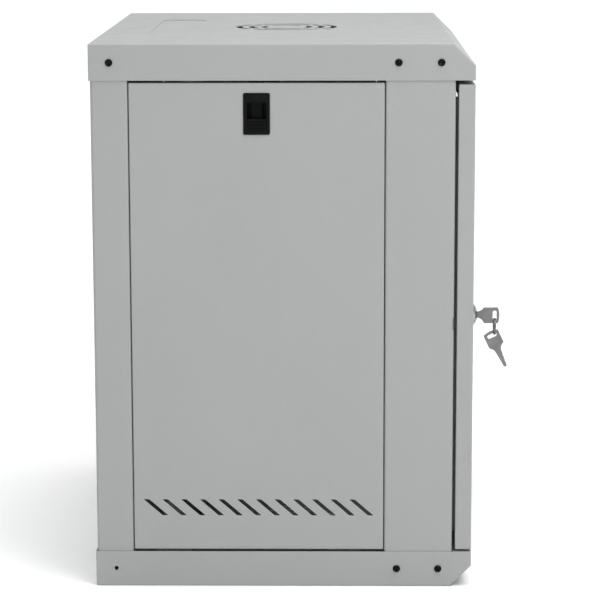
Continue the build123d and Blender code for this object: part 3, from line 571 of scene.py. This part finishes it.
def back_screws(bm):
    low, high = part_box("back_panel_screws")
    for hand in (-1, 1):
        for z in BACK_SCREW_LEVELS:
            lean = random.uniform(0, math.pi / 2)
            place = frame_at((hand * (high.x - HEAD_RADIUS), high.y - SHEET, z), (0, 1, 0), lean)
            pan_head(bm, place, HEAD_RADIUS, SHEET, BACK_RECESS, 48, 12)
            thread(bm, place, M5_RADIUS, M5_PITCH, -BACK_SCREW_LENGTH, 0, 16)


add_mesh("back_panel_pan_screws", "cabinet", "blackened_steel", back_screws, "back_panel_screws")


def rail_bolt_pair(node):
    """Two hexagon bolts that point away from each other, heads inwards."""
    low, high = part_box(node)
    x, y = (low.x + high.x) / 2, (low.y + high.y) / 2

    def build(bm):
        for tip, hand in ((low.z, -1), (high.z, 1)):
            place = frame_at((x, y, tip - hand * RAIL_BOLT_LENGTH), (0, 0, hand), math.pi / 6)
            hex_body(bm, place, M6_CORNER, -M6_HEAD, 0, chamfer_high=False)
            thread(bm, place, M6_RADIUS, M6_PITCH, 0, RAIL_BOLT_LENGTH)

    return build


def rail_nut_pair(node):
    """The two nuts at the outer ends of those bolts."""
    low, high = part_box(node)
    x, y = (low.x + high.x) / 2, (low.y + high.y) / 2

    def build(bm):
        for tip, hand in ((low.z, -1), (high.z, 1)):
            place = frame_at((x, y, tip - hand * M6_NUT), (0, 0, hand), math.pi / 6)
            hex_body(bm, place, M6_CORNER, 0, M6_NUT, M6_BORE)

    return build


for end in ("front_left", "front_right", "rear_left", "rear_right"):
    body, bolts, nuts = f"rack_rail_{end}", f"rail_bolts_{end}", f"rail_nuts_{end}"
    add_mesh(f"rail_hexagon_bolts_{end}", body, "zinc_plated_steel", rail_bolt_pair(bolts), bolts)
    add_mesh(f"rail_hexagon_nuts_{end}", body, "zinc_plated_steel", rail_nut_pair(nuts), nuts)


def stud_places():
    """The sixteen weld studs round the glass: four up each side, four above and four below."""
    low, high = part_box("strip_nuts")
    side_x = high.x - STUD_NUT_CORNER
    places = [(hand * side_x, z) for hand in (-1, 1) for z in STUD_LEVELS]
    for z in (low.z + STUD_NUT_EDGE, high.z - STUD_NUT_EDGE):
        places += [(x, z) for x in STUD_COLUMNS]
    return places


def weld_studs(bm):
    low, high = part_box("strip_studs")
    for x, z in stud_places():
        thread(bm, frame_at((x, low.y, z), (0, 1, 0)), M4_RADIUS, M4_PITCH, 0, high.y - low.y, 16)


def stud_nuts(bm):
    low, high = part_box("strip_nuts")
    for x, z in stud_places():
        place = frame_at((x, low.y, z), (0, 1, 0), STUD_NUT_LEAN)
        hex_body(bm, place, STUD_NUT_CORNER, 0, high.y - low.y, M4_BORE)


add_mesh("threaded_weld_studs", "door", "zinc_plated_steel", weld_studs, "strip_studs")
add_mesh("hexagon_stud_nuts", "door", "zinc_plated_steel", stud_nuts, "strip_nuts")


def earth_bolt(bm):
    low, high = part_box("earth_stud")
    middle = middle_of("earth_stud")
    place = frame_at((middle.x, high.y, middle.z), (0, -1, 0))
    thread(bm, place, M6_RADIUS, M6_PITCH, 0.4 * MM, high.y - low.y)
    profile = ((0, SHEET), (5.7 * MM, SHEET), (5.98 * MM, 1.4 * MM), (5.98 * MM, 2.2 * MM))
    turned(bm, place, (*profile, (5.6 * MM, 2 * SHEET), (0, 2 * SHEET)))


def earth_hexagons(bm):
    low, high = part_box("earth_nuts")
    middle = middle_of("earth_nuts")
    for y in (high.y, low.y + M6_NUT):
        place = frame_at((middle.x, y, middle.z), (0, -1, 0), EARTH_NUT_LEAN)
        hex_body(bm, place, M6_CORNER, 0, M6_NUT, M6_BORE)


add_mesh("threaded_earth_bolt", "cabinet", "zinc_plated_steel", earth_bolt, "earth_stud")
add_mesh("earth_hexagon_nuts", "cabinet", "zinc_plated_steel", earth_hexagons, "earth_nuts")


def cam_pan_screw(bm):
    low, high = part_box("cam_screw")
    middle = middle_of("cam_screw")
    seat = high.y - CAM_HEAD_HEIGHT
    place = frame_at((middle.x, seat, middle.z), (0, 1, 0), CAM_SCREW_LEAN)
    pan_head(bm, place, CAM_HEAD_RADIUS, CAM_HEAD_HEIGHT, CAM_RECESS)
    thread(bm, place, M4_RADIUS, M4_PITCH, low.y - seat, 0, 16)


add_mesh("lock_cam_pan_screw", "lock_plug", "zinc_plated_steel", cam_pan_screw, "cam_screw")


def lock_hexagon(bm):
    low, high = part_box("lock_nut")
    middle = middle_of("lock_nut")
    place = frame_at((middle.x, low.y, middle.z), (0, 1, 0), LOCK_NUT_LEAN)
    hex_body(bm, place, LOCK_NUT_CORNER, 0, high.y - low.y, LOCK_NUT_BORE)


add_mesh("lock_hexagon_nut", "door", "lock_chrome", lock_hexagon, "lock_nut")


def sprung_pin(bm):
    """The hinge pin that is pulled down: knurled knob, shank, collar and a rounded nose."""
    low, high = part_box("hinge_pin_upper")
    middle = middle_of("hinge_pin_upper")
    top = high.z - low.z
    collar = COLLAR_LOW - low.z
    profile = [(0, 0), (3.3, 0), (4.2, 0.4), (4.48, 1.2)]
    profile += [(4.48, z) for z in (2.0, 3.5, 5.0, 6.5, 8.0)]
    profile += [(4.48, 8.8), (4.2, 9.6), (3.3, 10), (2.98, 10)]
    profile = [(r * MM, z * MM) for r, z in profile]
    ring = [(2.98, 0), (4.7, 0), (4.98, 0.3), (4.98, 1.9), (4.7, 2.2), (2.98, 2.2)]
    profile += [(r * MM, collar + z * MM) for r, z in ring]
    nose = [(2.98, 1.2), (2.75, 0.5), (2.1, 0), (0, 0)]
    profile += [(r * MM, top - z * MM) for r, z in nose]
    place = frame_at((middle.x, middle.y, low.z), (0, 0, 1))
    turned(bm, place, profile, 96, (1.9 * MM, 8.1 * MM, 0.28 * MM, 24))


add_mesh("knurled_hinge_pin", "hinge_pin", "zinc_plated_steel", sprung_pin, "hinge_pin_upper")


def spring_at(node, wire):
    """A coil spring that fills a node's box."""
    low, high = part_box(node)
    outer = (high.x - low.x) / 2

    def build(bm):
        path = coil_path(middle_of(node), low.z, high.z, outer - wire, wire, SPRING_TURNS)
        tube_along(bm, path, wire)

    return build


hinge_wire = spring_at("hinge_spring", HINGE_WIRE)
hinge_coil = add_mesh("hinge_coil_spring", "door", "spring_steel", hinge_wire, "hinge_spring")
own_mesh(hinge_coil)
for hand in ("left", "right"):
    node = f"latch_spring_{hand}"
    latch_wire = spring_at(node, LATCH_WIRE)
    add_mesh(f"latch_coil_spring_{hand}", f"side_panel_{hand}", "spring_steel", latch_wire, node)


def split_ring(bm):
    """Two turns of wire side by side, with a step where one crosses to the other."""
    low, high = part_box("key_ring")
    centre = (low + high) / 2
    half = (high.y - low.y) / 2
    wire = half / 2
    radius = (high.z - low.z) / 2 - wire
    points = []
    for k in range(2 * RING_STEPS + 7):
        turn = (k - 3) / RING_STEPS
        angle = TURN * turn + RING_START
        cross = 1 / (1 + math.exp(-(turn - 1.0) * 22))
        across = (half - wire) * 0.98 * (2 * cross - 1)
        points.append(centre + Vector((radius * math.cos(angle), across, radius * math.sin(angle))))
    tube_along(bm, points, wire * 0.98, 14)


add_mesh("split_key_ring", "key_ring", "key_nickel", split_ring, "key_ring")

# ---------------------------------------------------------------- softened edges


WELD_REACH = 0.002 * MM
EDGE_ANGLE = math.radians(34)


def soften(node, width):
    """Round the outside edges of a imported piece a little."""
    piece = nodes[node]
    weld = piece.modifiers.new("join", "WELD")
    weld.merge_threshold = WELD_REACH
    round_off = piece.modifiers.new("soft_edge", "BEVEL")
    round_off.width = width
    round_off.segments = 2
    round_off.limit_method = "ANGLE"
    round_off.angle_limit = EDGE_ANGLE
    round_off.use_clamp_overlap = True
    round_off.harden_normals = True


for node in ("key", "spare_key"):
    soften(node, 0.22 * MM)
for hand in ("left", "right"):
    soften(f"latch_slider_{hand}", 0.20 * MM)
soften("lock_cam", 0.25 * MM)
soften("hinge_bracket_upper", 0.2 * MM)

# ---------------------------------------------------------------- floor and light

FLOOR_RADIUS = 45
floor_mesh = bpy.data.meshes.new("studio_floor")
floor_bm = bmesh.new()
bmesh.ops.create_circle(floor_bm, cap_ends=True, segments=96, radius=FLOOR_RADIUS)
floor_bm.to_mesh(floor_mesh)
floor_bm.free()
floor = bpy.data.objects.new("studio_floor", floor_mesh)
bpy.context.scene.collection.objects.link(floor)
floor_paint = Surface("pale_floor", IOR=1.4)
floor_paint.shader.inputs["Specular IOR Level"].default_value = 0.25
floor_clouds = floor_paint.spread(floor_paint.noise(1.2, 3), 0, 1)
floor_tone = floor_paint.blend(floor_clouds, (0.90, 0.90, 0.90), (0.885, 0.886, 0.888))
floor_paint.feed("Base Color", floor_tone)
floor_paint.feed("Roughness", floor_paint.spread(floor_paint.noise(6, 3), 0.75, 0.9))
floor.data.materials.append(floor_paint.material)

BACKDROP_NEAR = 0.80
BACKDROP_FAR = 1.20
HORIZON_LEVEL, HORIZON_LIGHT = 0.10, (1.03, 1.03, 1.03)
UPPER_LEVEL, UPPER_LIGHT = 0.32, (0.36, 0.362, 0.365)
OVERHEAD_STRENGTH = 2.75
OVERHEAD_SPREAD = math.radians(55)
OVERHEAD_FROM = Vector((-0.03, -0.05, 1))
SOFTBOX_SIZE = 1.0
SOFTBOX_POWER = 17.5
SOFTBOX_AT = Vector((-1.3, -0.9, 1.7))
SOFTBOX_AIM = Vector((-0.3, 0, 0.35))

world = bpy.data.worlds.new("studio")
bpy.context.scene.world = world
world.use_nodes = True
sky = world.node_tree
backdrop = sky.nodes["Background"]
direction = sky.nodes.new("ShaderNodeTexCoord")
split = sky.nodes.new("ShaderNodeSeparateXYZ")
fade = sky.nodes.new("ShaderNodeValToRGB")
sky.links.new(direction.outputs["Generated"], split.inputs[0])
sky.links.new(split.outputs["Z"], fade.inputs[0])
sky.links.new(fade.outputs[0], backdrop.inputs[0])
beyond = sky.nodes.new("ShaderNodeMapRange")
beyond.inputs["From Min"].default_value = -1
beyond.inputs["To Min"].default_value = BACKDROP_NEAR
beyond.inputs["To Max"].default_value = BACKDROP_FAR
sky.links.new(split.outputs["X"], beyond.inputs["Value"])
sky.links.new(beyond.outputs[0], backdrop.inputs["Strength"])
fade.color_ramp.elements[0].position = HORIZON_LEVEL
fade.color_ramp.elements[0].color = (*HORIZON_LIGHT, 1)
fade.color_ramp.elements[1].position = UPPER_LEVEL
fade.color_ramp.elements[1].color = (*UPPER_LIGHT, 1)

overhead = bpy.data.objects.new("overhead", bpy.data.lights.new("overhead", "SUN"))
overhead.data.energy = OVERHEAD_STRENGTH
overhead.data.angle = OVERHEAD_SPREAD
overhead.rotation_mode = "QUATERNION"
overhead.rotation_quaternion = OVERHEAD_FROM.to_track_quat("Z", "Y")
bpy.context.scene.collection.objects.link(overhead)

softbox = bpy.data.objects.new("softbox", bpy.data.lights.new("softbox", "AREA"))
softbox.data.size = SOFTBOX_SIZE
softbox.data.energy = SOFTBOX_POWER
softbox.location = SOFTBOX_AT
softbox.rotation_mode = "QUATERNION"
softbox.rotation_quaternion = (SOFTBOX_AT - SOFTBOX_AIM).to_track_quat("Z", "Y")
softbox.visible_camera = False
bpy.context.scene.collection.objects.link(softbox)

bpy.context.scene.view_settings.view_transform = "Standard"

# ---------------------------------------------------------------- scene update

bpy.context.view_layer.update()
